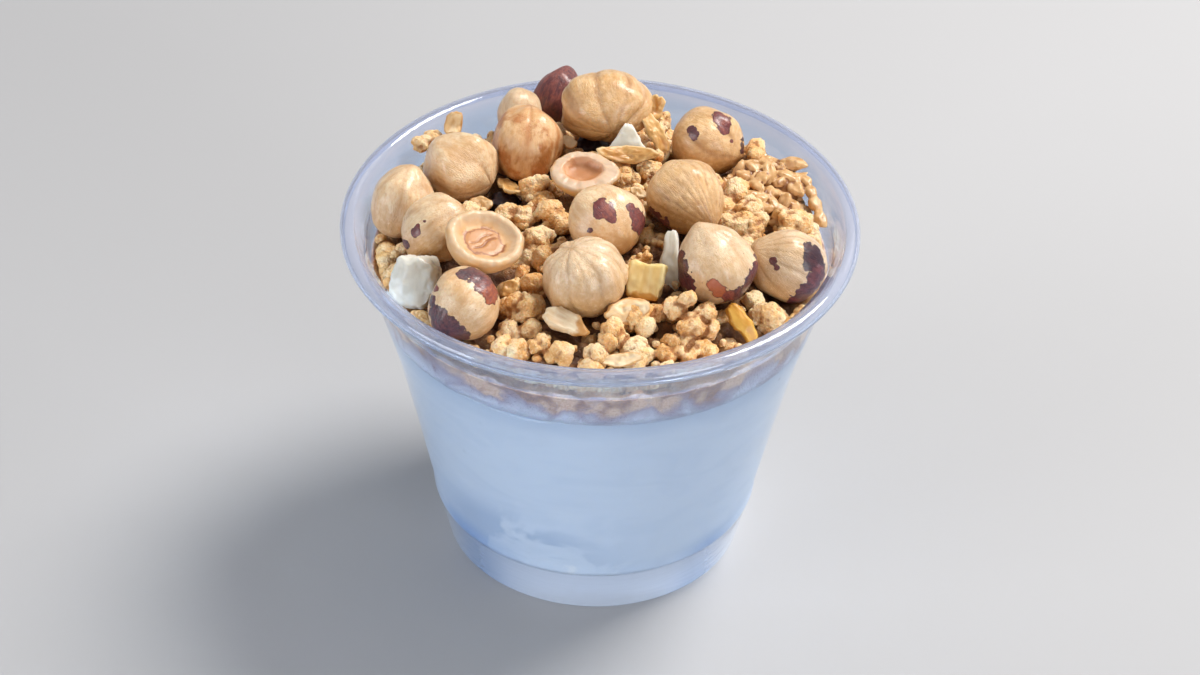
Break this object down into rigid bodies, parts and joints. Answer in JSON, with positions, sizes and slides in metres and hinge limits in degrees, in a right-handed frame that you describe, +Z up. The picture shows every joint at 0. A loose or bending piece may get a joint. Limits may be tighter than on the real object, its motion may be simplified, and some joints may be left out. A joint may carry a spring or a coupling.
{
  "type": "cup of yogurt with nuts",
  "caption": "Clear tapered dessert cup with a rolled rim and raised floor, filled with white yogurt and heaped with granola clusters, hazelnuts, coconut and dried fruit.",
  "frame": {"origin": "middle of the cup's foot, on the surface it stands on", "axes": "+Z up along the cup's axis, -Y towards the viewer of the picture, +X to the viewer's right"},
  "size_m": [0.095, 0.095, 0.0844],
  "materials": {
    "clear_plastic": "clear thermoformed plastic, faintly blue, polished",
    "yogurt": "smooth white yogurt behind the clear wall",
    "granola": "baked oat clusters, sandy and honey brown",
    "hazelnut": "peeled roasted kernel, satin, with patches of dark skin",
    "skin_on_hazelnut": "kernel in its dark red-brown skin, satin",
    "coconut": "white dried flesh, slightly see-through, satin",
    "yellow_fruit": "dried yellow fruit, satin",
    "raisin": "dark dried fruit, wrinkled, satin"
  },
  "bodies": {
    "root": {"cup": "clear_plastic", "yogurt": "yogurt", "granola": "granola", "hazelnut_01": "hazelnut", "hazelnut_02": "hazelnut", "hazelnut_03": "hazelnut", "hazelnut_04": "hazelnut", "hazelnut_05": "hazelnut", "hazelnut_06": "hazelnut", "hazelnut_07": "skin_on_hazelnut", "hazelnut_08": "hazelnut", "hazelnut_09": "hazelnut", "hazelnut_10": "hazelnut", "hazelnut_11": "hazelnut", "hazelnut_12": "hazelnut", "hazelnut_13": "hazelnut", "hazelnut_14": "hazelnut", "hazelnut_half_1": "hazelnut", "hazelnut_half_2": "hazelnut", "coconut_chunk": "coconut", "coconut_chip": "coconut", "coconut_strip": "coconut", "coconut_flake": "coconut", "fruit_cube": "yellow_fruit", "fruit_slice": "yellow_fruit", "raisin_1": "raisin", "raisin_2": "raisin"}
  },
  "joints": []
}
